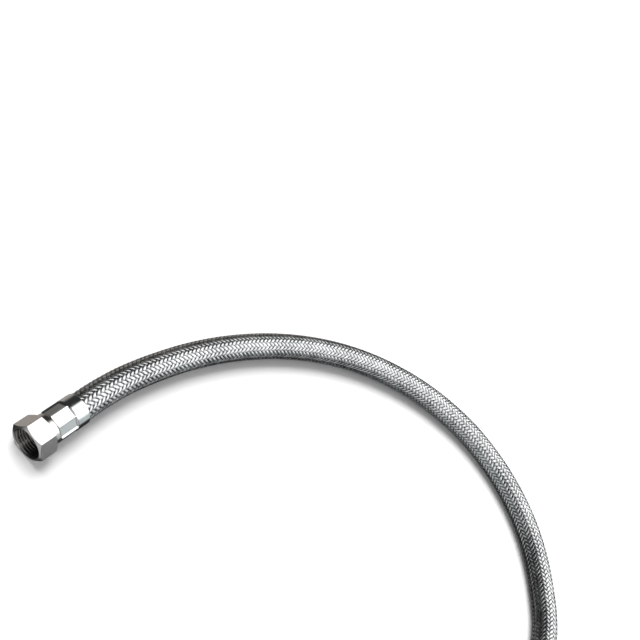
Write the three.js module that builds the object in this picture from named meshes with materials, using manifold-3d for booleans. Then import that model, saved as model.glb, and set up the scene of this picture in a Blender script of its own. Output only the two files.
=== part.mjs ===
// Flexible tap hose: a rubber liner in a braided steel sleeve, with the same
// crimped fitting and loose union nut at each end. Millimetres, +Z up.
//
// The hose lies on the ground plane z = 0. The origin is on that plane, under the
// middle of the bottom flat of union nut A. Fitting A points along -X.

import * as THREE from "three";
import { mergeVertices } from "three/addons/utils/BufferGeometryUtils.js";
import Module from "manifold-3d";

const wasm = await Module();
wasm.setup();

// General
const CLEARANCE = 0.3;
const CUT_PAST = 1;
const ROUND_SEGMENTS = 36;
const TAIL_SEGMENTS = 24;

// Hose: a rubber liner inside a braided sleeve
const HOSE_DIAMETER = 20;
const BRAID_WALL = 0.6;
const LINER_BORE = 13;
const HOSE_SIDES = 12;
const HOSE_STEP = 2 * HOSE_DIAMETER;
const HOSE_TAPER = 1;
const JOIN_INSET = 0.02;
const JOIN_DEPTH = 1;

// Route of the hose between the two ferrules, seen from above: x and y from the
// point where the hose leaves ferrule A, and the share of the way up from lying on
// the ground to the height of the fittings' axes.
const ROUTE = [
  [0, 0, 1],
  [14, 0, 0.96],
  [29, -0.7, 0.74],
  [41, -1.9, 0.46],
  [53, -3.8, 0.22],
  [66, -6.4, 0.09],
  [89.5, -12.4, 0.01],
  [115.2, -21.3, 0],
  [140.7, -32.8, 0],
  [165.9, -47, 0],
  [190.1, -64.1, 0],
  [212.1, -83.5, 0],
  [232.2, -106, 0],
  [249.2, -130.8, 0],
  [263.1, -157.9, 0],
  [272.7, -186.7, 0],
  [277.2, -209.9, 0],
  [278, -233, 0],
  [275.8, -255.7, 0],
  [270.4, -277.6, 0],
  [262.1, -297.9, 0],
  [250.6, -316.6, 0],
  [233, -336.4, 0],
  [209.7, -355.4, 0.02],
  [182.3, -367.3, 0.2],
  [155, -371.4, 0.8],
  [140.4, -371.4, 1],
];

// Ferrule: a thin steel sleeve, round over the hose and pressed in over the tail
const FERRULE_WALL = 0.5;
const BELL_LENGTH = 9.3;
const CRIMP_LENGTH = 13.2;
const CRIMP_DEPTH = 1.05;
const CRIMP_FLATS = 8;
const SIDE_RIB_HEIGHT = 0.55;
const LOW_RIB_HEIGHT = 0.12;
const RIB_BASE = 1.9;
const RIB_TOP = 0.9;
const FERRULE_LIP = 1;
const BELL_EDGE = 0.4;

// Barbed tail: a turned brass tube with a flange inside the nut
const TAIL_BORE = 9.2;
const TAIL_NECK_WALL = 2.6;
const TAIL_START = 1.5;
const BARB_COUNT = 7;
const BARB_DEPTH = 0.5;
const BARB_RISE = 0.7;
const BARB_LAND = 0.9;
const FLANGE_THICKNESS = 2.5;
const FLANGE_CLEARANCE = 0.5;

// Union nut for a half-inch pipe thread
const NUT_ACROSS_FLATS = 24;
const NUT_HEX_LENGTH = 13.5;
const NUT_COLLAR_LENGTH = 3.7;
const NUT_COLLAR_WALL = 0.9;
const NUT_THREAD_BORE = 19.2;
const NUT_MOUTH_BORE = 21.6;
const NUT_LIP_THICKNESS = 3;
const NUT_CHAMFER_WIDTH = 1.3;
const NUT_CHAMFER_ANGLE = THREE.MathUtils.degToRad(30);
const COLLAR_EDGE = 0.4;

// Flat sealing washer, held in the bottom of the nut's socket
const WASHER_THICKNESS = 2;
const WASHER_BORE = 11;

// Radii and heights that follow from the sizes above. Heights are along the axis
// of a fitting, from the edge of the ferrule that the hose leaves.
const hoseRadius = HOSE_DIAMETER / 2;
const nutInradius = NUT_ACROSS_FLATS / 2;
const nutCornerRadius = nutInradius / Math.cos(Math.PI / 6);
const axisHeight = nutInradius;

const linerRadius = hoseRadius - BRAID_WALL - CLEARANCE;
const linerBoreRadius = LINER_BORE / 2;

const bellRadius = hoseRadius + CLEARANCE + FERRULE_WALL;
const crimpRadius = bellRadius - CRIMP_DEPTH;
const crimpBoreRadius = crimpRadius - FERRULE_WALL;
const squeezedHoseRadius = crimpBoreRadius - CLEARANCE;
const squeezedLinerRadius = squeezedHoseRadius - BRAID_WALL - CLEARANCE;

const tailBoreRadius = TAIL_BORE / 2;
const barbRadius = linerBoreRadius - CLEARANCE;
const neckRadius = tailBoreRadius + TAIL_NECK_WALL;

const ferruleFront = BELL_LENGTH + CRIMP_LENGTH;
const lipBack = ferruleFront - FERRULE_LIP;
const neckBack = lipBack - CLEARANCE / 2;
const hoseFront = neckBack - CLEARANCE;
const hoseInBell = BELL_LENGTH - CLEARANCE;

const nutBack = ferruleFront + CLEARANCE;
const hexBack = nutBack + NUT_COLLAR_LENGTH;
const nutFront = hexBack + NUT_HEX_LENGTH;
const socketBottom = nutBack + NUT_LIP_THICKNESS;
const threadRadius = NUT_THREAD_BORE / 2;
const collarRadius = threadRadius + NUT_COLLAR_WALL;
const flangeRadius = threadRadius - FLANGE_CLEARANCE;
const flangeBack = socketBottom + CLEARANCE;
const flangeFront = flangeBack + FLANGE_THICKNESS;
const washerBack = flangeFront + CLEARANCE;
const washerFront = washerBack + WASHER_THICKNESS;

// Finishes
const nickel = { color: 0xcfcac4, roughness: 0.22, metalness: 1 };
const stainless = { color: 0xd6dada, roughness: 0.18, metalness: 1 };
const braidSteel = { color: 0x9a9fa0, roughness: 0.35, metalness: 1 };
const brass = { color: 0xb8954f, roughness: 0.3, metalness: 1 };
const rubber = { color: 0x1b1b1a, roughness: 0.8, metalness: 0 };

// Shapes and solids

// A solid from a closed geometry, with shared corners merged.
function solidFrom(geometry) {
  const plain = geometry.clone();
  plain.deleteAttribute("normal");
  plain.deleteAttribute("uv");
  const merged = mergeVertices(plain, 1e-4);
  return new wasm.Manifold(new wasm.Mesh({
    numProp: 3,
    vertProperties: new Float32Array(merged.attributes.position.array),
    triVerts: new Uint32Array(merged.index.array),
  }));
}

function geometryFrom(solid) {
  const mesh = solid.getMesh();
  const geometry = new THREE.BufferGeometry();
  geometry.setAttribute("position", new THREE.BufferAttribute(mesh.vertProperties, 3));
  geometry.setIndex(new THREE.BufferAttribute(mesh.triVerts, 1));
  geometry.computeVertexNormals();
  return geometry;
}

// Turns a profile of [radius, height] points about the local Z axis. The profile
// runs up the outside and closes on itself or starts and ends on the axis.
function turned(profile, segments = ROUND_SEGMENTS) {
  const points = profile.map(([radius, height]) => new THREE.Vector2(radius, height));
  const geometry = new THREE.LatheGeometry(points, segments);
  geometry.rotateX(Math.PI / 2);
  return geometry;
}

// A closed ring profile from the points of its outside, bottom to top, and those
// of its inside, top to bottom.
function ring(outside, inside) {
  return [...outside, ...inside, outside[0]];
}

function prism(corners, from, to) {
  const shape = new THREE.Shape(corners.map(([x, y]) => new THREE.Vector2(x, y)));
  const geometry = new THREE.ExtrudeGeometry(shape, { depth: to - from, bevelEnabled: false });
  geometry.translate(0, 0, from);
  return geometry;
}

function polygon(sides, radius, firstAngle = 0) {
  const corners = [];
  for (let i = 0; i < sides; i += 1) {
    const angle = firstAngle + (i * 2 * Math.PI) / sides;
    corners.push([radius * Math.cos(angle), radius * Math.sin(angle)]);
  }
  return corners;
}

// Hose

function placeOnRoute([x, y, share]) {
  return new THREE.Vector3(x, y, hoseRadius + share * (axisHeight - hoseRadius));
}

// The centre line of the hose from one ferrule to the other.
function hoseCurve() {
  return new THREE.CatmullRomCurve3(ROUTE.map(placeOnRoute), false, "centripetal");
}

function hoseSection(outerRadius, innerRadius) {
  const corners = (radius) => polygon(HOSE_SIDES, radius).map(([x, y]) => new THREE.Vector2(x, y));
  const section = new THREE.Shape(corners(outerRadius));
  section.holes.push(new THREE.Path(corners(innerRadius).reverse()));
  return section;
}

// The straight end of a layer, in the frame of its fitting. It starts just inside the
// wall of the bent layer, so that the two join without sharing a face, and narrows
// from the bell into the crimp.
function squeezedEnd(outerRadius, innerRadius, squeezedOuter, squeezedInner) {
  const outside = [
    [outerRadius - JOIN_INSET, -JOIN_DEPTH],
    [outerRadius - JOIN_INSET, hoseInBell],
    [squeezedOuter, hoseInBell + HOSE_TAPER],
    [squeezedOuter, hoseFront],
  ];
  const inside = [
    [squeezedInner, hoseFront],
    [squeezedInner, hoseInBell + HOSE_TAPER],
    [innerRadius + JOIN_INSET, hoseInBell],
    [innerRadius + JOIN_INSET, -JOIN_DEPTH],
  ];
  return turned(ring(outside, inside), HOSE_SIDES);
}

function hoseLayer(...radii) {
  const curve = hoseCurve();
  const body = new THREE.ExtrudeGeometry(hoseSection(radii[0], radii[1]), {
    extrudePath: curve,
    steps: Math.round(curve.getLength() / HOSE_STEP),
    bevelEnabled: false,
  });
  let layer = solidFrom(body);
  for (const exit of [ROUTE[0], ROUTE.at(-1)]) {
    const end = squeezedEnd(...radii);
    end.rotateY(-Math.PI / 2);
    end.translate(...placeOnRoute(exit).toArray());
    layer = layer.add(solidFrom(end));
  }
  return geometryFrom(layer);
}

function braidSleeve() {
  const innerRadius = hoseRadius - BRAID_WALL;
  const squeezedInner = squeezedHoseRadius - BRAID_WALL;
  return hoseLayer(hoseRadius, innerRadius, squeezedHoseRadius, squeezedInner);
}

function linerTube() {
  return hoseLayer(linerRadius, linerBoreRadius, squeezedLinerRadius, linerBoreRadius);
}

// Ferrule

// The pressed outline: flats all round, with a narrow rib left between each two. The
// press closes from above and below, so the ribs at the sides are the high ones.
function crimpOutline() {
  const outline = [];
  const sector = (2 * Math.PI) / CRIMP_FLATS;
  const corner = crimpRadius / Math.cos(sector / 2);
  for (let i = 0; i < CRIMP_FLATS; i += 1) {
    const middle = (i + 0.5) * sector;
    const atSide = Math.abs(Math.sin(middle)) > Math.abs(Math.cos(middle));
    const ribRadius = corner + (atSide ? SIDE_RIB_HEIGHT : LOW_RIB_HEIGHT);
    for (const [radius, across] of [
      [corner, -RIB_BASE / 2],
      [ribRadius, -RIB_TOP / 2],
      [ribRadius, RIB_TOP / 2],
      [corner, RIB_BASE / 2],
    ]) {
      const angle = middle + across / ribRadius;
      outline.push([radius * Math.cos(angle), radius * Math.sin(angle)]);
    }
  }
  return outline;
}

function ferrule() {
  const bell = turned([
    [0, 0],
    [bellRadius - BELL_EDGE, 0],
    [bellRadius, BELL_EDGE],
    [bellRadius, BELL_LENGTH],
    [crimpBoreRadius, BELL_LENGTH + CRIMP_DEPTH],
    [0, BELL_LENGTH + CRIMP_DEPTH],
  ]);
  const bore = turned([
    [0, -CUT_PAST],
    [bellRadius - FERRULE_WALL, -CUT_PAST],
    [bellRadius - FERRULE_WALL, BELL_LENGTH],
    [crimpBoreRadius, BELL_LENGTH + CRIMP_DEPTH],
    [crimpBoreRadius, lipBack],
    [neckRadius + CLEARANCE, lipBack],
    [neckRadius + CLEARANCE, ferruleFront + CUT_PAST],
    [0, ferruleFront + CUT_PAST],
  ]);
  const crimp = prism(crimpOutline(), BELL_EDGE, ferruleFront);
  return geometryFrom(solidFrom(bell).add(solidFrom(crimp)).subtract(solidFrom(bore)));
}

// Barbed tail

// The barbs rise towards the hose's end and stop it from sliding off.
function barbs() {
  const pitch = (neckBack - TAIL_START) / BARB_COUNT;
  const profile = [];
  for (let i = 0; i < BARB_COUNT; i += 1) {
    const start = TAIL_START + i * pitch;
    profile.push([barbRadius - BARB_DEPTH, start]);
    profile.push([barbRadius, start + pitch * BARB_RISE]);
    profile.push([barbRadius, start + pitch * BARB_LAND]);
  }
  profile.push([barbRadius - BARB_DEPTH, neckBack]);
  return profile;
}

function barbedTail() {
  const outside = [
    ...barbs(),
    [neckRadius, neckBack],
    [neckRadius, flangeBack],
    [flangeRadius, flangeBack],
    [flangeRadius, flangeFront],
  ];
  const inside = [
    [tailBoreRadius, flangeFront],
    [tailBoreRadius, TAIL_START],
  ];
  return turned(ring(outside, inside), TAIL_SEGMENTS);
}

// Union nut

function hexSolid() {
  const corners = polygon(6, nutCornerRadius, Math.PI / 6);
  const hex = prism(corners, hexBack, nutFront);
  const rise = Math.tan(NUT_CHAMFER_ANGLE) * NUT_CHAMFER_WIDTH;
  const taper = turned([
    [0, hexBack],
    [nutCornerRadius - 2 * NUT_CHAMFER_WIDTH, hexBack],
    [nutCornerRadius, hexBack + 2 * rise],
    [nutCornerRadius, nutFront - 2 * rise],
    [nutCornerRadius - 2 * NUT_CHAMFER_WIDTH, nutFront],
    [0, nutFront],
  ], 2 * ROUND_SEGMENTS);
  return solidFrom(hex).intersect(solidFrom(taper));
}

function unionNut() {
  const collar = turned([
    [0, nutBack],
    [collarRadius - COLLAR_EDGE, nutBack],
    [collarRadius, nutBack + COLLAR_EDGE],
    [collarRadius, hexBack + NUT_CHAMFER_WIDTH],
    [0, hexBack + NUT_CHAMFER_WIDTH],
  ]);
  const mouthRadius = NUT_MOUTH_BORE / 2;
  const socket = turned([
    [0, nutBack - CUT_PAST],
    [neckRadius + CLEARANCE, nutBack - CUT_PAST],
    [neckRadius + CLEARANCE, socketBottom],
    [threadRadius, socketBottom],
    [threadRadius, nutFront - (mouthRadius - threadRadius)],
    [mouthRadius + CUT_PAST, nutFront + CUT_PAST],
    [0, nutFront + CUT_PAST],
  ]);
  return geometryFrom(hexSolid().add(solidFrom(collar)).subtract(solidFrom(socket)));
}

// Sealing washer

function sealingWasher() {
  const outside = [[flangeRadius, washerBack], [flangeRadius, washerFront]];
  const inside = [[WASHER_BORE / 2, washerFront], [WASHER_BORE / 2, washerBack]];
  return turned(ring(outside, inside));
}

// Assembly

function named(name, geometry, finish) {
  const mesh = new THREE.Mesh(geometry, new THREE.MeshStandardMaterial(finish));
  mesh.name = name;
  return mesh;
}

// One fitting in its own frame: the hose leaves it at the origin, and +Z points out
// of the mouth of the nut. It is turned so that the nut lies on a flat.
function fitting(letter, exit) {
  const group = new THREE.Group();
  group.add(named(`crimp_ferrule_${letter}`, ferrule(), stainless));
  group.add(named(`barbed_tail_${letter}`, barbedTail(), brass));
  group.add(named(`union_nut_${letter}`, unionNut(), nickel));
  group.add(named(`sealing_washer_${letter}`, sealingWasher(), rubber));
  group.rotation.y = -Math.PI / 2;
  group.position.copy(placeOnRoute(exit));
  return group;
}

const tapHose = new THREE.Group();
const laid = new THREE.Group();
laid.position.x = (hexBack + nutFront) / 2;
laid.add(named("braid_sleeve", braidSleeve(), braidSteel));
laid.add(named("liner_tube", linerTube(), rubber));
laid.add(fitting("a", ROUTE[0]));
laid.add(fitting("b", ROUTE.at(-1)));
tapHose.add(laid);

export default tapHose;
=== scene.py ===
# %% [markdown]
# A flexible tap hose, modelled in Blender around its solid model. The real hose is a
# rubber tube inside a sleeve of woven steel wire, with the same fitting at both ends:
# a pressed steel ferrule, a turned tail inside it, and a loose hexagonal nut.
#
# The solid model was made first. This script repeats its sizes and places, and gives
# each piece its fine shape and its finish. Lengths are in metres, except where a
# comment says millimetres, and +Z is up.

# %% Load the solid model
import bpy
import math
from mathutils import Matrix, Vector


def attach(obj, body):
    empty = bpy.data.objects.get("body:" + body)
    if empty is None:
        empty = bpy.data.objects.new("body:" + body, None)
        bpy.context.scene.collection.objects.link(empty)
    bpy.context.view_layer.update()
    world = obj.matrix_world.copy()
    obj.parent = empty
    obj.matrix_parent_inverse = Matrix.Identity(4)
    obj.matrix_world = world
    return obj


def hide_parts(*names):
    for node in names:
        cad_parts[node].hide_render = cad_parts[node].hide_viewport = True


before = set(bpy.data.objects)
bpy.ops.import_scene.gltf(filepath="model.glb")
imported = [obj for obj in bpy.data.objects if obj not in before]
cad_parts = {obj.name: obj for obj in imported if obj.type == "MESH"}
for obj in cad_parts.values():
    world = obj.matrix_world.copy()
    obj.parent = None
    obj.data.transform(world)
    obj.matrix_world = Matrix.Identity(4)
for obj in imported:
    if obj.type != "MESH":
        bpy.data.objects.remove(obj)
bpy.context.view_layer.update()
MM = 0.001

# %% [markdown]
# The camera comes first, because the hose is laid out to suit it. Its place and turn
# were found by matching the hose's line and width in the photograph. It looks down at
# about 45 degrees, and it is rolled, because the picture was taken with the floor askew.

# %% Camera
CAMERA_PLACE = Vector((-0.2131, -0.0445, 0.4701))
CAMERA_LOOKS_AT = Vector((0.2518, -0.0505, 0.010))
CAMERA_ROLL = math.radians(52.53)
PICTURE_WIDTH = 640
FOCAL_LENGTH_PX = 800
SENSOR_WIDTH_MM = 36


def make_camera():
    data = bpy.data.cameras.new("camera")
    data.sensor_width = SENSOR_WIDTH_MM
    data.lens = SENSOR_WIDTH_MM * FOCAL_LENGTH_PX / PICTURE_WIDTH
    data.clip_start = 0.01
    camera = bpy.data.objects.new("camera", data)
    bpy.context.scene.collection.objects.link(camera)
    level = (CAMERA_LOOKS_AT - CAMERA_PLACE).to_track_quat("-Z", "Y").to_matrix().to_4x4()
    rolled = level @ Matrix.Rotation(CAMERA_ROLL, 4, "Z")
    camera.matrix_world = Matrix.Translation(CAMERA_PLACE) @ rolled
    return camera


bpy.context.scene.camera = make_camera()
print("lens:", bpy.context.scene.camera.data.lens, "mm")

# %% [markdown]
# The hose lies on the ground in one wide bend. Its route is the same list of points
# as in the solid model: x and y, and the share of the way up from the ground to the
# height of the fittings. A curve through the points is worked out here, so that the
# liner, the weave and the length measurement all follow the same line.

# %% Route of the hose
HOSE_DIAMETER = 20 * MM
AXIS_HEIGHT = 12 * MM
EXIT_A = Vector((33.25 * MM, 0, AXIS_HEIGHT))
ROUTE_MM = [
    (0, 0, 1),
    (14, 0, 0.96),
    (29, -0.7, 0.74),
    (41, -1.9, 0.46),
    (53, -3.8, 0.22),
    (66, -6.4, 0.09),
    (89.5, -12.4, 0.01),
    (115.2, -21.3, 0),
    (140.7, -32.8, 0),
    (165.9, -47, 0),
    (190.1, -64.1, 0),
    (212.1, -83.5, 0),
    (232.2, -106, 0),
    (249.2, -130.8, 0),
    (263.1, -157.9, 0),
    (272.7, -186.7, 0),
    (277.2, -209.9, 0),
    (278, -233, 0),
    (275.8, -255.7, 0),
    (270.4, -277.6, 0),
    (262.1, -297.9, 0),
    (250.6, -316.6, 0),
    (233, -336.4, 0),
    (209.7, -355.4, 0.02),
    (182.3, -367.3, 0.2),
    (155, -371.4, 0.8),
    (140.4, -371.4, 1),
]
EXIT_B = Vector((EXIT_A.x + ROUTE_MM[-1][0] * MM, ROUTE_MM[-1][1] * MM, AXIS_HEIGHT))
INTO_FERRULE = Vector((-1, 0, 0))
HOSE_IN_FERRULE = 21.05 * MM
POINTS_PER_SPAN = 12


def route_points():
    lying = HOSE_DIAMETER / 2
    return [
        Vector((EXIT_A.x + x * MM, y * MM, lying + share * (AXIS_HEIGHT - lying)))
        for x, y, share in ROUTE_MM
    ]


def smooth_curve(points, per_span):
    """A centripetal Catmull-Rom curve through the points."""
    padded = [2 * points[0] - points[1], *points, 2 * points[-1] - points[-2]]
    curve = []
    for p0, p1, p2, p3 in zip(padded, padded[1:], padded[2:], padded[3:]):
        t1 = math.sqrt((p1 - p0).length)
        t2 = t1 + math.sqrt((p2 - p1).length)
        t3 = t2 + math.sqrt((p3 - p2).length)
        for i in range(per_span):
            t = t1 + (t2 - t1) * i / per_span
            a1 = p0.lerp(p1, t / t1)
            a2 = p1.lerp(p2, (t - t1) / (t2 - t1))
            a3 = p2.lerp(p3, (t - t2) / (t3 - t2))
            b1 = a1.lerp(a2, t / t2)
            b2 = a2.lerp(a3, (t - t1) / (t3 - t1))
            curve.append(b1.lerp(b2, (t - t1) / (t2 - t1)))
    curve.append(points[-1])
    return curve


def straight_run(start, end, spans):
    return [start.lerp(end, i / spans) for i in range(spans)]


def whole_line():
    """The hose's centre line, with the straight ends that are hidden in the ferrules."""
    free = smooth_curve(route_points(), POINTS_PER_SPAN)
    end_a = free[0] + INTO_FERRULE * HOSE_IN_FERRULE
    end_b = free[-1] + INTO_FERRULE * HOSE_IN_FERRULE
    start = straight_run(end_a, free[0], POINTS_PER_SPAN)
    finish = straight_run(free[-1], end_b, POINTS_PER_SPAN)
    return [*start, *free[:-1], *finish, end_b]


hose_line = whole_line()
line_length = sum((b - a).length for a, b in zip(hose_line, hose_line[1:]))
print("hose line:", len(hose_line), "points,", round(line_length, 4), "m")

# %% [markdown]
# Shader trees and geometry trees are both made of nodes joined by links. A few small
# helpers make a node, set its options, and fill each input with a number or with a
# link. They keep the trees below short enough to read.

# %% Helpers for node trees
def add_node(tree, kind, inputs=None, **options):
    """A new node. Inputs are keyed by socket name or number; a socket value is linked."""
    made = tree.nodes.new(kind)
    for name, value in options.items():
        setattr(made, name, value)
    for key, value in (inputs or {}).items():
        if isinstance(value, bpy.types.NodeSocket):
            tree.links.new(value, made.inputs[key])
        else:
            made.inputs[key].default_value = value
    return made


def calculate(tree, operation, *values):
    """A Math node of the given operation; gives its result socket."""
    return add_node(tree, "ShaderNodeMath", dict(enumerate(values)), operation=operation).outputs[0]


def mean(tree, a, b):
    return calculate(tree, "MULTIPLY", calculate(tree, "ADD", a, b), 0.5)


def vector_math(tree, operation, a, b):
    """A Vector Math node of the given operation; gives its vector result."""
    made = add_node(tree, "ShaderNodeVectorMath", {0: a, 1: b}, operation=operation)
    return made.outputs["Vector"]


def scaled(tree, vector, factor):
    """A vector or a colour, times a number."""
    made = add_node(tree, "ShaderNodeVectorMath", {0: vector, "Scale": factor}, operation="SCALE")
    return made.outputs["Vector"]


def open_group(name, kind, inputs, outputs):
    """A node group with named sockets, and the sockets inside it."""
    tree = bpy.data.node_groups.new(name, kind)
    for in_out, sockets in (("INPUT", inputs), ("OUTPUT", outputs)):
        for socket_name, socket_type in sockets:
            tree.interface.new_socket(socket_name, in_out=in_out, socket_type=socket_type)
    start = tree.nodes.new("NodeGroupInput")
    end = tree.nodes.new("NodeGroupOutput")
    return tree, start.outputs, end.inputs


# %% [markdown]
# Every metal here has fine marks from how it was made. Bar stock has lines along its
# length, turned faces have rings, and pressed sheet has faint streaks. They all are
# one noise pattern, stretched a different way. A second, large and soft noise stands
# for handling, where the polish is a little duller. One shader group gives both, and
# each material sets its own stretch and sizes. The rubber uses the same group.

# %% Shader group: marks and smudges
def surface_marks():
    tree, given, result = open_group(
        "surface marks",
        "ShaderNodeTree",
        [
            ("Stretch", "NodeSocketVector"),
            ("Mark Size", "NodeSocketFloat"),
            ("Smudge Size", "NodeSocketFloat"),
        ],
        [("Marks", "NodeSocketFloat"), ("Smudges", "NodeSocketFloat")],
    )

    def noise(place, size, detail, roughness):
        made = add_node(tree, "ShaderNodeTexNoise", {
            "Vector": place,
            "Scale": calculate(tree, "DIVIDE", 1.0, size),
            "Detail": detail,
            "Roughness": roughness,
        })
        return made.outputs[0]

    place = add_node(tree, "ShaderNodeTexCoord").outputs["Object"]
    stretched = vector_math(tree, "MULTIPLY", place, given["Stretch"])
    tree.links.new(noise(stretched, given["Mark Size"], 4.0, 0.6), result["Marks"])
    tree.links.new(noise(place, given["Smudge Size"], 3.0, 0.5), result["Smudges"])
    return tree


SURFACE_MARKS = surface_marks()
print("shader group:", SURFACE_MARKS.name)

# %% [markdown]
# All the materials are built in the same few steps. Something chooses between a dark
# and a light tint, something sets the roughness, and the marks make a very shallow
# bump. Where a piece stores a value on its own mesh, its material can read it.

# %% Helpers for materials
def start_material(name, stretch, mark_size, smudge_size):
    """A new material, with its tree, its shader and its patterns of marks and smudges."""
    material = bpy.data.materials.new(name)
    material.use_nodes = True
    tree = material.node_tree
    patterns = add_node(tree, "ShaderNodeGroup", {
        "Stretch": stretch,
        "Mark Size": mark_size,
        "Smudge Size": smudge_size,
    }, node_tree=SURFACE_MARKS).outputs
    return material, tree, tree.nodes["Principled BSDF"], patterns


def stored(tree, name):
    """The value that a piece stores on its mesh under this name."""
    return add_node(tree, "ShaderNodeAttribute", attribute_name=name).outputs["Fac"]


def blend_tints(tree, value, dark, light, start=0.0, end=1.0):
    """A colour that goes from dark to light as the value goes from start to end."""
    ramp = add_node(tree, "ShaderNodeValToRGB", {"Fac": value})
    for element, place, tint in zip(ramp.color_ramp.elements, (start, end), (dark, light)):
        element.position = place
        element.color = (*tint, 1)
    return ramp.outputs["Color"]


def set_surface(tree, shader, colour, roughness, marks, depth):
    """Gives the shader its colour, its roughness and a bump from the marks."""
    tree.links.new(colour, shader.inputs["Base Color"])
    tree.links.new(roughness, shader.inputs["Roughness"])
    bump = add_node(tree, "ShaderNodeBump", {"Height": marks, "Distance": depth})
    tree.links.new(bump.outputs[0], shader.inputs["Normal"])


# %% [markdown]
# A metal is mostly its reflections. Its tint varies a little with the smudges, and its
# roughness with both patterns. Most values of a noise lie between 0.3 and 0.7, so that
# range is spread over the whole change in roughness. Inside the nut's socket the tint
# is painted much darker than the polished outside, as painted shade in the bore.

# %% Metal finishes
SMUDGE_SIZE = 6 * MM
NOISE_LOW = 0.3
NOISE_HIGH = 0.7
KEPT_IN_PAINTED_SHADE = 0.3


def metal(name, dark, light, polish, stretch, mark_size, depth, shade_where=None):
    """A bare metal between two tints. Polish is the roughness where clean and where smudged.
    The last argument names a value stored on the mesh, which is 1 where shade is painted into the
    tint."""
    material, tree, shader, patterns = start_material(name, stretch, mark_size, SMUDGE_SIZE)
    shader.inputs["Metallic"].default_value = 1.0
    colour = blend_tints(tree, patterns["Smudges"], dark, light)
    if shade_where:
        # Painted shade: inside the socket the tint is darkened to this share.
        kept = calculate(tree, "MULTIPLY_ADD", stored(tree, shade_where), KEPT_IN_PAINTED_SHADE - 1, 1.0)
        colour = scaled(tree, colour, kept)
    roughness = add_node(tree, "ShaderNodeMapRange", {
        "Value": mean(tree, patterns["Marks"], patterns["Smudges"]),
        "From Min": NOISE_LOW,
        "From Max": NOISE_HIGH,
        "To Min": polish[0],
        "To Max": polish[1],
    }).outputs[0]
    set_surface(tree, shader, colour, roughness, patterns["Marks"], depth)
    return material


ALONG_THE_FITTING = (1, 14, 14)
ROUND_THE_FITTING = (14, 1, 1)
EVEN = (1, 1, 1)

# The nut's tint is painted dark inside its socket, as shade in the bore.
nut_nickel = metal("nut_nickel", (0.70, 0.67, 0.65), (0.84, 0.81, 0.79), (0.2, 0.3),
                   ALONG_THE_FITTING, 2 * MM, 0.01 * MM, shade_where="socket_painted_shade")
ferrule_steel = metal("ferrule_steel", (0.70, 0.72, 0.72), (0.90, 0.91, 0.91), (0.1, 0.24),
                      ALONG_THE_FITTING, 4 * MM, 0.012 * MM)
tail_brass = metal("tail_brass", (0.52, 0.38, 0.17), (0.76, 0.60, 0.32), (0.2, 0.36),
                   ROUND_THE_FITTING, 1.5 * MM, 0.01 * MM)
print("metals:", nut_nickel.name, ferrule_steel.name, tail_brass.name)

# %% [markdown]
# Rubber is not a metal: it is nearly black and dull, and its colour varies only a
# little. It shows in the sealing washer inside each nut, and as darkness between the
# strands of the weave.

# %% Rubber finish
def black_rubber(name):
    material, tree, shader, patterns = start_material(name, EVEN, 0.6 * MM, 5 * MM)
    shader.inputs["Specular IOR Level"].default_value = 0.35
    colour = blend_tints(tree, patterns["Smudges"], (0.008, 0.008, 0.008), (0.03, 0.03, 0.029))
    roughness = add_node(tree, "ShaderNodeMapRange", {
        "Value": patterns["Marks"], "To Min": 0.55, "To Max": 0.85,
    }).outputs[0]
    set_surface(tree, shader, colour, roughness, patterns["Marks"], 0.04 * MM)
    return material


washer_rubber = black_rubber("washer_rubber")
liner_rubber = black_rubber("liner_rubber")
print("rubbers:", washer_rubber.name, liner_rubber.name)

# %% [markdown]
# The weave's wire is plain drawn stainless steel. Its material reads two values that
# the weave stores on its own mesh: a tone that differs from strand to strand, and how
# high the strand rides. The parts that dive under their neighbours are painted darker
# than the crests, as painted shade between the strands.

# %% Wire finish
RIDE_SHADE_SHARE = 0.7
TONE_SHARE = 0.15
SMUDGE_SHARE = 0.15


def braid_wire():
    material, tree, shader, patterns = start_material("braid_steel", EVEN, 1.2 * MM, 12 * MM)
    shader.inputs["Metallic"].default_value = 1.0
    tone = stored(tree, "strand_tone")
    ride = stored(tree, "strand_ride")
    tone_smudge_and_shade = calculate(tree, "MULTIPLY", tone, TONE_SHARE)
    # Painted shade: the lower a strand rides, the darker its tint, where it dives under its
    # neighbours.
    tone_smudge_and_shade = calculate(tree, "MULTIPLY_ADD", ride, RIDE_SHADE_SHARE, tone_smudge_and_shade)
    tone_smudge_and_shade = calculate(tree, "MULTIPLY_ADD", patterns["Smudges"], SMUDGE_SHARE, tone_smudge_and_shade)
    colour = blend_tints(tree, tone_smudge_and_shade, (0.10, 0.105, 0.11), (0.84, 0.85, 0.85), start=0.4, end=0.85)
    roughness = add_node(tree, "ShaderNodeMapRange", {
        "Value": mean(tree, patterns["Marks"], tone), "To Min": 0.22, "To Max": 0.42,
    }).outputs[0]
    set_surface(tree, shader, colour, roughness, patterns["Marks"], 0.01 * MM)
    return material


braid_steel = braid_wire()
print("wire:", braid_steel.name)

# %% [markdown]
# Most pieces here are closed skins that can be laid out as a grid: one way round the
# axis, and the other way round the outline of the wall, outside and inside. So one
# helper makes them all. It wraps the grid both ways, turns the faces outwards, and
# marks only the sharper edges as sharp, so that rounded ones shade smoothly.

# %% Helper for closed skins
SHARP_ANGLE = math.radians(40)


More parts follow.
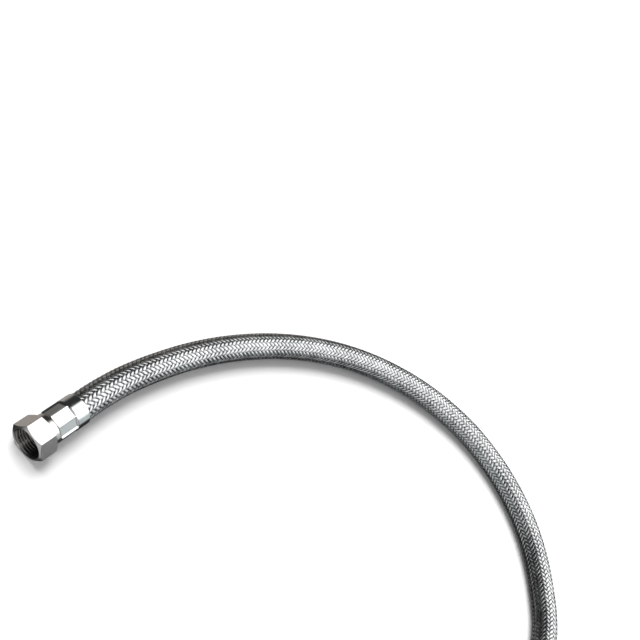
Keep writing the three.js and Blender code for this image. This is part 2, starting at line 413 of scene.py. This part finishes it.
def closed_skin(name, grid, material):
    """An object with a closed skin over a grid of points, wrapped both ways."""
    rows, columns = len(grid), len(grid[0])
    points = [point for row in grid for point in row]
    faces = []
    for i in range(rows):
        for j in range(columns):
            next_i, next_j = (i + 1) % rows, (j + 1) % columns
            corners = (i, j), (next_i, j), (next_i, next_j), (i, next_j)
            faces.append([row * columns + column for row, column in corners])
    mesh = bpy.data.meshes.new(name)
    mesh.from_pydata(points, [], faces)
    mesh.materials.append(material)
    if signed_volume(mesh) < 0:
        mesh.flip_normals()
    mesh.shade_smooth()
    mesh.set_sharp_from_angle(angle=SHARP_ANGLE)
    made = bpy.data.objects.new(name, mesh)
    bpy.context.scene.collection.objects.link(made)
    return made


def signed_volume(mesh):
    """The volume that a closed mesh holds, below zero where it is inside out."""
    mesh.calc_loop_triangles()
    total = 0.0
    for triangle in mesh.loop_triangles:
        a, b, c = (mesh.vertices[i].co for i in triangle.vertices)
        total += a.dot(b.cross(c)) / 6
    return total


def triangle_count(made):
    made.data.calc_loop_triangles()
    return len(made.data.loop_triangles)


def turn(count):
    """Evenly spaced angles over a full turn."""
    return [math.tau * i / count for i in range(count)]


# %% [markdown]
# The liner is the rubber tube that carries the water. It shows only as the dark ground
# behind the weave, but it is a real piece, so it is a whole tube with a bore. Inside
# each ferrule, the pressed steel squeezes it and the weave together onto the tail.
#
# A tube can be made from a curve with a bevel. Here the wall and the squeeze change
# along the length, so rings of points are placed on the line instead.

# %% Liner
LINER_RADIUS = 9.1 * MM
LINER_BORE_RADIUS = 6.5 * MM
SQUEEZED_LINER_RADIUS = 8.05 * MM
SQUEEZE_START = 9 * MM
SQUEEZE_END = 10 * MM
LINER_SIDES = 40
UP = Vector((0, 0, 1))


def smooth_step(start, end, value):
    share = min(1.0, max(0.0, (value - start) / (end - start)))
    return share * share * (3 - 2 * share)


def squeeze_along(line):
    """How far each point of the line is squeezed, from 0 on the free hose to 1 in the crimp."""
    travelled = [0.0]
    for a, b in zip(line, line[1:]):
        travelled.append(travelled[-1] + (b - a).length)
    squeezes = []
    for distance in travelled:
        inside = HOSE_IN_FERRULE - min(distance, travelled[-1] - distance)
        squeezes.append(smooth_step(SQUEEZE_START, SQUEEZE_END, inside))
    return squeezes


def ring_round(line, i, radius, sides):
    """A ring of points about point i of the line, square to it."""
    ahead = line[min(i + 1, len(line) - 1)]
    behind = line[max(i - 1, 0)]
    along = (ahead - behind).normalized()
    side = along.cross(UP).normalized()
    upward = side.cross(along)
    centre = line[i]
    return [centre + radius * (math.cos(a) * side + math.sin(a) * upward) for a in turn(sides)]


def make_liner(line):
    squeezes = squeeze_along(line)
    outside, inside = [], []
    for i, squeeze in enumerate(squeezes):
        radius = LINER_RADIUS + squeeze * (SQUEEZED_LINER_RADIUS - LINER_RADIUS)
        outside.append(ring_round(line, i, radius, LINER_SIDES))
        inside.append(ring_round(line, i, LINER_BORE_RADIUS, LINER_SIDES))
    return closed_skin("liner", outside + inside[::-1], liner_rubber)


liner = make_liner(hose_line)
print("liner:", triangle_count(liner), "triangles")

# %% [markdown]
# The sleeve over the liner is braided from flat strands of fine wire. A braiding
# machine runs 18 spools one way round and 18 the other, and each strand passes over
# two, then under two. So the strands slope at about 45 degrees both ways, and the
# crests lie in a staggered pattern.
#
# It repeats hundreds of times and follows a path, so it suits Geometry Nodes. The tree
# takes the hose's line, and makes a copy of a plain line for each strand. It winds the
# copies round the hose, lifts and lowers them in a wave as they cross the others, and
# sweeps the outline of a strand along them. Two stations for each crossing are enough
# for the wave. Each direction is made in two pieces, of every other strand, to keep
# the meshes light.

# %% Sizes of the weave
STRANDS_EACH_WAY = 18
STRAND_WIRES = 5
STRAND_WIDTH = 2.15 * MM
STRAND_THICKNESS = 0.36 * MM
WIRE_GROOVE = 0.05 * MM
STRAND_CROWN = 0.3 * MM
WEAVE_LIFT = 0.26 * MM
WEAVE_RADIUS = HOSE_DIAMETER / 2 - WEAVE_LIFT - STRAND_THICKNESS / 2
SQUEEZED_WEAVE_SHARE = 0.892
STATIONS_PER_CROSSING = 2
CROSSING_STEP = math.pi * HOSE_DIAMETER / STRANDS_EACH_WAY / 2
stations = round(line_length / CROSSING_STEP) * STATIONS_PER_CROSSING + 1
print("weave:", 2 * STRANDS_EACH_WAY, "strands,", stations, "stations along each")

# %% Outline of one strand: wires side by side, and a plain back
def new_curve_object(name, points, closed, radii=None):
    curve = bpy.data.curves.new(name, "CURVE")
    curve.dimensions = "3D"
    spline = curve.splines.new("POLY")
    spline.points.add(len(points) - 1)
    for i, point in enumerate(points):
        spline.points[i].co = (*point, 1)
        if radii:
            spline.points[i].radius = radii[i]
    spline.use_cyclic_u = closed
    made = bpy.data.objects.new(name, curve)
    bpy.context.scene.collection.objects.link(made)
    return made


def strand_outline():
    half_width = STRAND_WIDTH / 2
    top = STRAND_THICKNESS / 2
    points = [(-top, -half_width, 0), (-top, half_width, 0)]
    for i in reversed(range(2 * STRAND_WIRES - 1)):
        across = (i + 1) / STRAND_WIRES - 1
        groove = WIRE_GROOVE if i % 2 else 0
        points.append((top - groove - STRAND_CROWN * across ** 2, across * half_width, 0))
    return new_curve_object("strand outline", points, closed=True)


outline = strand_outline()
print("outline:", len(outline.data.splines[0].points), "points")

# %% Geometry tree of the woven strands
def strand_lines(tree, given):
    """A plain line with all its stations for each strand, and the strand's number."""
    plain = add_node(tree, "GeometryNodeCurvePrimitiveLine")
    stepped = add_node(tree, "GeometryNodeResampleCurve", {
        "Curve": plain.outputs["Curve"], "Count": given["Stations"],
    })
    copies = add_node(tree, "GeometryNodeDuplicateElements", {
        "Geometry": stepped.outputs["Curve"],
        "Amount": calculate(tree, "DIVIDE", given["Strands"], 2.0),
    }, domain="SPLINE")
    copy_number = copies.outputs["Duplicate Index"]
    strand = calculate(tree, "MULTIPLY_ADD", copy_number, 2.0, given["First Strand"])
    return copies.outputs["Geometry"], strand


def winding(tree, given, strand, station):
    """The angle round the hose at a station, and from -1 to 1 how far over it rides."""
    crossings = calculate(tree, "DIVIDE", station, STATIONS_PER_CROSSING)
    passed = calculate(tree, "MULTIPLY", given["Hand"], crossings)
    turned = calculate(tree, "MULTIPLY_ADD", passed, 0.5, strand)
    spacing = calculate(tree, "DIVIDE", math.tau, given["Strands"])
    angle = calculate(tree, "MULTIPLY", turned, spacing)
    crossing = calculate(tree, "MULTIPLY_ADD", turned, 2.0, -0.5)
    wave = calculate(tree, "COSINE", calculate(tree, "MULTIPLY", crossing, math.pi / 2))
    return angle, calculate(tree, "MULTIPLY", wave, given["Hand"])


def wind_round_hose(tree, given, lines, share, angle, over):
    """Lays the lines round the hose, each station at its share of the hose's length."""
    level = add_node(tree, "GeometryNodeSetCurveNormal", {"Curve": given["Line"]}, mode="Z_UP")
    hose = add_node(tree, "GeometryNodeSampleCurve", {
        "Curves": level.outputs["Curve"],
        "Value": add_node(tree, "GeometryNodeInputRadius").outputs[0],
        "Factor": share,
    }, mode="FACTOR").outputs
    upward = vector_math(tree, "CROSS_PRODUCT", hose["Tangent"], hose["Normal"])
    outward = vector_math(tree, "ADD",
                          scaled(tree, hose["Normal"], calculate(tree, "COSINE", angle)),
                          scaled(tree, upward, calculate(tree, "SINE", angle)))
    radius = calculate(tree, "MULTIPLY", given["Radius"], hose["Value"])
    reach = calculate(tree, "MULTIPLY_ADD", over, given["Lift"], radius)
    place = vector_math(tree, "ADD", hose["Position"], scaled(tree, outward, reach))
    wound = add_node(tree, "GeometryNodeSetPosition", {"Geometry": lines, "Position": place})
    faced = add_node(tree, "GeometryNodeSetCurveNormal", {
        "Curve": wound.outputs["Geometry"], "Normal": outward,
    }, mode="FREE")
    return faced.outputs["Curve"]


def store(tree, geometry, name, value):
    """Stores a value on each point, for the material to read."""
    made = add_node(tree, "GeometryNodeStoreNamedAttribute", {
        "Geometry": geometry, "Name": name, "Value": value,
    }, data_type="FLOAT", domain="POINT")
    return made.outputs["Geometry"]


def chance(tree, number, seed):
    """A random value from 0 to 1 for each number."""
    made = add_node(tree, "FunctionNodeRandomValue", {
        "ID": number, "Seed": seed,
    }, data_type="FLOAT")
    return next(s for s in made.outputs if s.enabled)


def sweep(tree, given, lines):
    """The mesh of the strand's outline, swept along the lines."""
    profile = add_node(tree, "GeometryNodeObjectInfo", {"Object": given["Outline"]})
    swept = add_node(tree, "GeometryNodeCurveToMesh", {
        "Curve": lines,
        "Profile Curve": profile.outputs["Geometry"],
        "Fill Caps": True,
    })
    smooth = add_node(tree, "GeometryNodeSetShadeSmooth", {"Geometry": swept.outputs["Mesh"]})
    real = add_node(tree, "GeometryNodeRealizeInstances", {"Geometry": smooth.outputs["Geometry"]})
    finished = add_node(tree, "GeometryNodeSetMaterial", {
        "Geometry": real.outputs["Geometry"], "Material": given["Wire"],
    })
    return finished.outputs["Geometry"]


def woven_strands():
    tree, given, result = open_group(
        "woven strands",
        "GeometryNodeTree",
        [
            ("Line", "NodeSocketGeometry"),
            ("Strands", "NodeSocketInt"),
            ("First Strand", "NodeSocketInt"),
            ("Stations", "NodeSocketInt"),
            ("Hand", "NodeSocketFloat"),
            ("Radius", "NodeSocketFloat"),
            ("Lift", "NodeSocketFloat"),
            ("Outline", "NodeSocketObject"),
            ("Seed", "NodeSocketInt"),
            ("Wire", "NodeSocketMaterial"),
        ],
        [("Mesh", "NodeSocketGeometry")],
    )
    lines, strand = strand_lines(tree, given)
    spline = add_node(tree, "GeometryNodeSplineParameter").outputs
    angle, over = winding(tree, given, strand, spline["Index"])
    wound = wind_round_hose(tree, given, lines, spline["Factor"], angle, over)
    # How high each station rides, which the wire's material turns into painted shade.
    ride = calculate(tree, "MULTIPLY_ADD", over, 0.5, 0.5)
    marked = store(tree, wound, "strand_ride", ride)
    marked = store(tree, marked, "strand_tone", chance(tree, strand, given["Seed"]))
    tree.links.new(sweep(tree, given, marked), result["Mesh"])
    return tree


WOVEN_STRANDS = woven_strands()
print("geometry tree:", len(WOVEN_STRANDS.nodes), "nodes")

# %% Run the tree once for each direction, and keep the plain meshes
def set_inputs(modifier, values):
    """Sets a modifier's inputs by each socket's identifier."""
    for item in modifier.node_group.interface.items_tree:
        if item.in_out == "INPUT" and item.name in values:
            modifier[item.identifier] = values[item.name]


def plain_mesh_from(maker, name):
    """The evaluated shape of an object as a plain mesh object. The maker is removed."""
    bpy.context.view_layer.update()
    evaluated = maker.evaluated_get(bpy.context.evaluated_depsgraph_get())
    mesh = bpy.data.meshes.new_from_object(evaluated)
    mesh.name = name
    if signed_volume(mesh) < 0:
        mesh.flip_normals()
    made = bpy.data.objects.new(name, mesh)
    bpy.context.scene.collection.objects.link(made)
    bpy.data.objects.remove(maker)
    return made


def weave(name, hand, first, seed):
    """Every other strand of one direction. Hand is 1 or -1, for the way that they wind."""
    radii = [1 + squeeze * (SQUEEZED_WEAVE_SHARE - 1) for squeeze in squeeze_along(hose_line)]
    maker = new_curve_object(name + " line", hose_line, closed=False, radii=radii)
    modifier = maker.modifiers.new("weave", "NODES")
    modifier.node_group = WOVEN_STRANDS
    set_inputs(modifier, {
        "Strands": STRANDS_EACH_WAY,
        "First Strand": first,
        "Stations": stations,
        "Hand": float(hand),
        "Radius": WEAVE_RADIUS,
        "Lift": WEAVE_LIFT,
        "Outline": outline,
        "Seed": seed,
        "Wire": braid_steel,
    })
    return plain_mesh_from(maker, name)


weaves = [
    weave("weave_right_1", 1, 0, 3),
    weave("weave_right_2", 1, 1, 5),
    weave("weave_left_1", -1, 0, 8),
    weave("weave_left_2", -1, 1, 12),
]
bpy.data.objects.remove(outline)
for made in weaves:
    volume = round(signed_volume(made.data) / MM ** 3)
    print(made.name, triangle_count(made), "triangles, volume", volume, "mm3")

# %% [markdown]
# Both ends carry the same fitting, and both point along -X. So each fitting piece is
# made by one function that takes the place where the hose leaves the ferrule. The
# sizes of the fittings are in millimetres, and those along a fitting are measured from
# that place towards the mouth of the nut.
#
# These pieces are turned on a lathe, or pressed from a turned shape. A lathe outline
# alone can't have flats, so the outline is worked out again for every angle. Each
# corner of the outline gets a small round edge, with a holding point on both sides
# that keeps the flat next to it looking flat.

# %% Helpers for turned pieces
# A rounding takes at most this share of the edge that it starts on. Its holding
# points lie this many times as far from the corner as its own ends.
LARGEST_SHARE_OF_EDGE = 0.4
HOLDING_POINT = 1.2


def rounded(corners, steps=3):
    """Rounds the corners (radius, along, rounding) of a closed outline."""
    outline = []
    count = len(corners)
    for i, (radius, along, rounding) in enumerate(corners):
        corner = Vector((radius, along))
        before = Vector(corners[i - 1][:2]) - corner
        after = Vector(corners[(i + 1) % count][:2]) - corner
        if rounding == 0 or before.length == 0 or after.length == 0:
            outline.append(corner)
            continue
        start = before.normalized() * min(rounding, LARGEST_SHARE_OF_EDGE * before.length)
        end = after.normalized() * min(rounding, LARGEST_SHARE_OF_EDGE * after.length)
        outline.append(corner + HOLDING_POINT * start)
        for step in range(steps + 1):
            share = step / steps
            outline.append(corner + start * (1 - share) ** 2 + end * share ** 2)
        outline.append(corner + HOLDING_POINT * end)
    return outline


def turned_piece(name, exit_point, angles, outline_at, material):
    """A closed skin whose wall outline is given for each angle, measured from +Y to +Z."""
    grid = []
    for angle in angles:
        row = []
        for radius, along in outline_at(angle):
            offset = Vector((-along, radius * math.cos(angle), radius * math.sin(angle)))
            row.append(exit_point + offset * MM)
        grid.append(row)
    return closed_skin(name, grid, material)


# %% [markdown]
# The ferrule is a thin steel cap pressed over the hose. Its open end, the bell, stays
# round. The rest was squeezed by eight jaws of a press, which left eight flats, with a
# narrow rib of metal between each two. The press closes from above and below, so only
# the ribs at the sides stand high. The step between the bell and the flats is soft,
# because the metal was bent, not cut.

# %% Ferrule
BELL_RADIUS = 10.8
BELL_BORE = 10.3
BELL_LENGTH = 9.3
CRIMP_END = 22.5
CRIMP_RADIUS = 9.75
CRIMP_BORE = 9.25
FLATS = 8
SIDE_RIB_HEIGHT = 0.55
LOW_RIB_HEIGHT = 0.12
RIB_HALF_TOP = 0.3
RIB_HALF_BASE = 0.95
LIP_START = 21.5
NECK_HOLE = 7.5
STEP_LENGTH = 1.1
STEP_POINTS = 5
STEP_SHARE_IN_BELL = 0.3
FLAT_BEFORE_STEP = 0.6
FLAT_AFTER_STEP = 0.3
BORE_STEP_LENGTH = 1.05
POINTS_PER_FLAT = 26


def crimp_radius_at(angle):
    """The pressed outline: flats, with a rib between each two. A flat faces straight up."""
    sector = math.tau / FLATS
    from_flat = (angle + sector / 2) % sector - sector / 2
    from_rib = (sector / 2 - abs(from_flat)) * CRIMP_RADIUS
    rise = 1 - smooth_step(RIB_HALF_TOP, RIB_HALF_BASE, from_rib)
    at_side = abs(math.cos(angle)) > abs(math.sin(angle))
    height = SIDE_RIB_HEIGHT if at_side else LOW_RIB_HEIGHT
    return CRIMP_RADIUS / math.cos(from_flat) + height * rise


def ferrule_outline(angle):
    crimp = crimp_radius_at(angle)
    step = []
    for i in range(STEP_POINTS + 1):
        share = i / STEP_POINTS
        radius = BELL_RADIUS + smooth_step(0, 1, share) * (crimp - BELL_RADIUS)
        step.append((radius, BELL_LENGTH + STEP_LENGTH * (share - STEP_SHARE_IN_BELL), 0))
    return rounded([
        (BELL_BORE, 0, 0.1),
        (BELL_RADIUS, 0, 0.35),
        (BELL_RADIUS, BELL_LENGTH - FLAT_BEFORE_STEP, 0),
        *step,
        (crimp, BELL_LENGTH + STEP_LENGTH + FLAT_AFTER_STEP, 0),
        (crimp, CRIMP_END, 0.35),
        (NECK_HOLE, CRIMP_END, 0.15),
        (NECK_HOLE, LIP_START, 0.1),
        (CRIMP_BORE, LIP_START, 0.2),
        (CRIMP_BORE, BELL_LENGTH + BORE_STEP_LENGTH, 0),
        (BELL_BORE, BELL_LENGTH, 0),
    ])


def make_ferrule(letter, exit_point):
    return turned_piece("ferrule_" + letter, exit_point, turn(FLATS * POINTS_PER_FLAT),
                        ferrule_outline, ferrule_steel)


ferrules = [make_ferrule("a", EXIT_A), make_ferrule("b", EXIT_B)]
print("ferrule:", triangle_count(ferrules[0]), "triangles")

# %% [markdown]
# The union nut is cut from hexagonal bar. Both ends of the hexagon are chamfered on a
# lathe, which leaves the curved edges on its flats. Behind it is a short round collar.
# Inside is a half-inch pipe thread: rounded ridges 1.814 mm apart, winding to the
# right. The nut stores on its mesh where its socket is, where its tint is painted dark as shade.

# %% Nut
FLAT_RADIUS = 12.0
CORNER_ROUNDING = 0.35
NUT_BACK = 22.8
HEX_BACK = 26.5
NUT_FRONT = 40.0
COLLAR_RADIUS = 10.5
CHAMFER_START = 0.938 * FLAT_RADIUS
CHAMFER_SLOPE = math.tan(math.radians(30))
SOCKET_BOTTOM = 25.8
MOUTH_RADIUS = 10.8
THREAD_PITCH = 1.814
THREAD_CREST = 9.35
THREAD_ROOT = 10.45
THREAD_START = 29.6
THREAD_RUN_IN = 1
THREAD_END = NUT_FRONT - 0.35
ROWS_PER_PITCH = 9


def hexagon_points():
    """Angle and radius round a hexagon with rounded corners and a flat on top."""
    points = []
    reach = (FLAT_RADIUS - CORNER_ROUNDING) / math.cos(math.pi / 6)
    flat_shares = [0.02, 0.06, 0.14, 0.24, 0.36, 0.5, 0.64, 0.76, 0.86, 0.94, 0.98]
    for i in range(6):
        corner = i * math.pi / 3
        centre = Vector((reach * math.cos(corner), reach * math.sin(corner)))
        for step in (-1, -0.5, 0, 0.5, 1):
            angle = corner + step * math.pi / 6
            points.append(centre + CORNER_ROUNDING * Vector((math.cos(angle), math.sin(angle))))
        corner += math.pi / 3
        following = Vector((reach * math.cos(corner), reach * math.sin(corner)))
        side = corner - math.pi / 6
        shift = CORNER_ROUNDING * Vector((math.cos(side), math.sin(side)))
        for share in flat_shares:
            points.append(centre.lerp(following, share) + shift)
    return {math.atan2(y, x): math.hypot(x, y) for x, y in points}


hexagon = hexagon_points()


def thread_radius(angle, along):
    """A rounded right-hand thread, cut away by the chamfer at the mouth."""
    phase = (along / THREAD_PITCH + angle / math.tau) % 1
    triangle = abs(4 * phase - 2) - 1
    wave = 0.5 * (triangle + math.sin(triangle * math.pi / 2))
    depth = smooth_step(THREAD_START - THREAD_RUN_IN, THREAD_START, along)
    ridge = THREAD_ROOT + depth * (THREAD_CREST - THREAD_ROOT) * (0.5 + 0.5 * wave)
    return max(ridge, MOUTH_RADIUS - (NUT_FRONT - along))


def nut_outline(angle):
    """The nut's wall. Its first corner only guides the rounding of the mouth, and the
    rows of the thread take its place."""
    side = hexagon[angle]
    cut = CHAMFER_SLOPE * (side - CHAMFER_START)
    wall = rounded([
        (THREAD_ROOT, NUT_FRONT - 0.3, 0),
        (MOUTH_RADIUS, NUT_FRONT, 0.08),
        (CHAMFER_START, NUT_FRONT, 0.1),
        (side, NUT_FRONT - cut, 0.12),
        (side, HEX_BACK + cut, 0.12),
        (CHAMFER_START, HEX_BACK, 0.1),
        (COLLAR_RADIUS, HEX_BACK, 0.15),
        (COLLAR_RADIUS, NUT_BACK, 0.4),
        (NECK_HOLE, NUT_BACK, 0.15),
        (NECK_HOLE, SOCKET_BOTTOM, 0.15),
        (THREAD_ROOT, SOCKET_BOTTOM, 0.2),
    ])[1:]
    first_row = THREAD_START - THREAD_RUN_IN
    length = THREAD_END - first_row
    rows = round(length / THREAD_PITCH * ROWS_PER_PITCH)
    for i in range(rows + 1):
        along = first_row + length * i / rows
        wall.append(Vector((thread_radius(angle, along), along)))
    return wall


def mark_socket_shade(made, exit_point):
    """Stores 1 on the points inside the socket, where painted shade darkens the tint, and 0 on all
    others.
    """
    marks = made.data.attributes.new("socket_painted_shade", "FLOAT", "POINT")
    for vertex, mark in zip(made.data.vertices, marks.data):
        from_exit = (vertex.co - exit_point) / MM
        radius = math.hypot(from_exit.y, from_exit.z)
        past_collar = -from_exit.x > HEX_BACK + 1
        mark.value = 1.0 if past_collar and radius < MOUTH_RADIUS - 0.1 else 0.0


def make_nut(letter, exit_point):
    made = turned_piece("nut_" + letter, exit_point, sorted(hexagon), nut_outline, nut_nickel)
    mark_socket_shade(made, exit_point)
    return made


nuts = [make_nut("a", EXIT_A), make_nut("b", EXIT_B)]
print("nut:", triangle_count(nuts[0]), "triangles")

# %% [markdown]
# Inside the fitting, out of sight from most sides, a turned brass tail holds it all
# together. Its barbs grip the liner, its neck passes through the ferrule's lip and the
# nut's, and its flange keeps the nut from coming off. The flat rubber washer lies on
# the flange. Both are plain lathe outlines.

# %% Tail and washer
TAIL_BORE = 4.6
TAIL_START = 1.5
BARB_RADIUS = 6.2
BARB_DEPTH = 0.5
BARBS = 7
NECK_START = 21.35
NECK_RADIUS = 7.2
FLANGE_START = 26.1
FLANGE_END = 28.6
FLANGE_RADIUS = 9.1
WASHER_START = 28.9
WASHER_END = 30.9
WASHER_BORE = 5.5
BARB_PEAK_START = 0.7
BARB_PEAK_END = 0.9
LATHE_SIDES = 96


def tail_outline(_angle):
    pitch = (NECK_START - TAIL_START) / BARBS
    corners = []
    for i in range(BARBS):
        start = TAIL_START + i * pitch
        corners.append((BARB_RADIUS - BARB_DEPTH, start, 0.05))
        corners.append((BARB_RADIUS, start + BARB_PEAK_START * pitch, 0.1))
        corners.append((BARB_RADIUS, start + BARB_PEAK_END * pitch, 0.05))
    return rounded([
        *corners,
        (BARB_RADIUS - BARB_DEPTH, NECK_START, 0),
        (NECK_RADIUS, NECK_START, 0.15),
        (NECK_RADIUS, FLANGE_START, 0.1),
        (FLANGE_RADIUS, FLANGE_START, 0.2),
        (FLANGE_RADIUS, FLANGE_END, 0.2),
        (TAIL_BORE, FLANGE_END, 0.25),
        (TAIL_BORE, TAIL_START, 0.15),
    ])


def washer_outline(_angle):
    return rounded([
        (WASHER_BORE, WASHER_START, 0.2),
        (FLANGE_RADIUS, WASHER_START, 0.25),
        (FLANGE_RADIUS, WASHER_END, 0.25),
        (WASHER_BORE, WASHER_END, 0.2),
    ])


def lathe_piece(name, exit_point, outline_at, material):
    return turned_piece(name, exit_point, turn(LATHE_SIDES), outline_at, material)


tails, washers = [], []
for letter, exit_point in (("a", EXIT_A), ("b", EXIT_B)):
    tails.append(lathe_piece("tail_" + letter, exit_point, tail_outline, tail_brass))
    washers.append(lathe_piece("washer_" + letter, exit_point, washer_outline, washer_rubber))
print("tail:", triangle_count(tails[0]), "washer:", triangle_count(washers[0]), "triangles")

# %% [markdown]
# Each finished piece now takes the place of the plain solid that it details, and rides
# on the same body. A nut and its washer turn together, and all else stays with the hose.

# %% Put the pieces on their bodies
def fit(made, body, slot, *solids):
    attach(made, body)
    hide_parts(*solids)


for i, letter in enumerate("ab"):
    fit(ferrules[i], "hose", "ferrule_steel", "crimp_ferrule_" + letter)
    fit(tails[i], "hose", "tail_brass", "barbed_tail_" + letter)
    fit(nuts[i], "nut_" + letter, "nut_nickel", "union_nut_" + letter)
    fit(washers[i], "nut_" + letter, "washer_rubber", "sealing_washer_" + letter)
fit(liner, "hose", "liner_rubber", "liner_tube")
for made in weaves:
    fit(made, "hose", "braid_steel", "braid_sleeve")

# %% [markdown]
# The floor is a plain white sheet, as in a catalogue picture. Polished metal would
# mirror that white on its underside, but the metal in the photograph is dark there.
# So the floor is hidden from mirror rays alone, and the metal sees the darker
# surroundings instead.

# %% Floor
FLOOR_HALF_WIDTH = 4.0
FLOOR_DROP = 0.05 * MM
FLOOR_COLOUR = (0.9, 0.9, 0.9, 1)


def dull_white():
    material = bpy.data.materials.new("floor")
    material.use_nodes = True
    shader = material.node_tree.nodes["Principled BSDF"]
    shader.inputs["Base Color"].default_value = FLOOR_COLOUR
    shader.inputs["Roughness"].default_value = 1.0
    shader.inputs["Specular IOR Level"].default_value = 0.0
    return material


def make_floor():
    mesh = bpy.data.meshes.new("floor")
    signs = (-1, -1), (1, -1), (1, 1), (-1, 1)
    corners = [(x * FLOOR_HALF_WIDTH, y * FLOOR_HALF_WIDTH, -FLOOR_DROP) for x, y in signs]
    mesh.from_pydata(corners, [], [(0, 1, 2, 3)])
    mesh.materials.append(dull_white())
    floor = bpy.data.objects.new("floor", mesh)
    bpy.context.scene.collection.objects.link(floor)
    floor.visible_glossy = False


make_floor()
print("floor:", 2 * FLOOR_HALF_WIDTH, "m wide")

# %% [markdown]
# Two soft suns light the white floor evenly up to its far edge. One is nearly as wide
# as the sky. The other stands behind the hose and makes the soft grey shadow on the
# near side.
# Neither is mirrored in the metal.

# %% Suns
def soft_sun(name, direction, spread, strength):
    """A light from far away, as many degrees wide as spread says."""
    data = bpy.data.lights.new(name, "SUN")
    data.angle = math.radians(spread)
    data.energy = strength
    light = bpy.data.objects.new(name, data)
    bpy.context.scene.collection.objects.link(light)
    light.rotation_euler = (-Vector(direction)).to_track_quat("-Z", "Y").to_euler()
    light.visible_glossy = False


soft_sun("sky", (0, 0, 1), 150, 1.5)
soft_sun("key", (0.22, 0.55, 1.0), 46, 3.5)

# %% [markdown]
# Polished metal shows what stands round it. Here that is a dark room with a few cards.
# A bright card overhead makes the white band along the middle of every piece, and grey
# cards soften its flanks. Their edges fade, so the bands in the metal fade too. The
# room is there for reflections alone: it adds no light to dull surfaces, and the
# camera sees a plain white wall in its place.

# %% Room
# Each card: its direction, then in degrees how far its rim is from its middle and how
# wide the faded edge is, and its colour. The second one is dark and hangs before the
# overhead card, so it takes light away.
CARDS = [
    ((0.3, -0.36, 0.88), 52, 24, (2.1, 2.1, 2.1)),
    ((0.05, -0.4, 0.91), 26, 17, (-1.6, -1.6, -1.58)),
    ((-0.55, -0.5, 0.67), 28, 16, (1.0, 1.0, 1.0)),
    ((0.5, -0.85, 0.02), 30, 20, (0.56, 0.60, 0.61)),
    ((-0.93, -0.28, -0.1), 60, 25, (0.50, 0.52, 0.52)),
    ((0.66, 0.55, -0.52), 42, 27, (0.37, 0.345, 0.325)),
]
ROOM_COLOUR = (0.03, 0.03, 0.03)
WALL_COLOUR = (1, 1, 1, 1)


def card_light(tree, place, direction, rim, edge, card_colour):
    """The light of one card: full inside it, fading to nothing at its edge."""
    facing = add_node(tree, "ShaderNodeVectorMath", {
        0: place,
        1: Vector(direction).normalized(),
    }, operation="DOT_PRODUCT").outputs["Value"]
    shade = add_node(tree, "ShaderNodeMapRange", {
        "Value": facing,
        "From Min": math.cos(math.radians(rim)),
        "From Max": math.cos(math.radians(rim - edge)),
    }, interpolation_type="SMOOTHSTEP").outputs[0]
    return scaled(tree, card_colour, shade)


def make_room():
    world = bpy.data.worlds.new("room")
    bpy.context.scene.world = world
    world.use_nodes = True
    world.cycles_visibility.diffuse = False
    tree = world.node_tree
    place = add_node(tree, "ShaderNodeTexCoord").outputs["Generated"]
    colour = ROOM_COLOUR
    for card in CARDS:
        colour = vector_math(tree, "ADD", colour, card_light(tree, place, *card))
    room = tree.nodes["Background"]
    tree.links.new(colour, room.inputs["Color"])
    wall = add_node(tree, "ShaderNodeBackground", {"Color": WALL_COLOUR})
    camera_ray = add_node(tree, "ShaderNodeLightPath").outputs["Is Camera Ray"]
    seen = add_node(tree, "ShaderNodeMixShader", {
        0: camera_ray, 1: room.outputs[0], 2: wall.outputs[0],
    })
    tree.links.new(seen.outputs[0], tree.nodes["World Output"].inputs["Surface"])


make_room()
bpy.context.scene.view_settings.view_transform = "Standard"
print("cards:", len(CARDS))
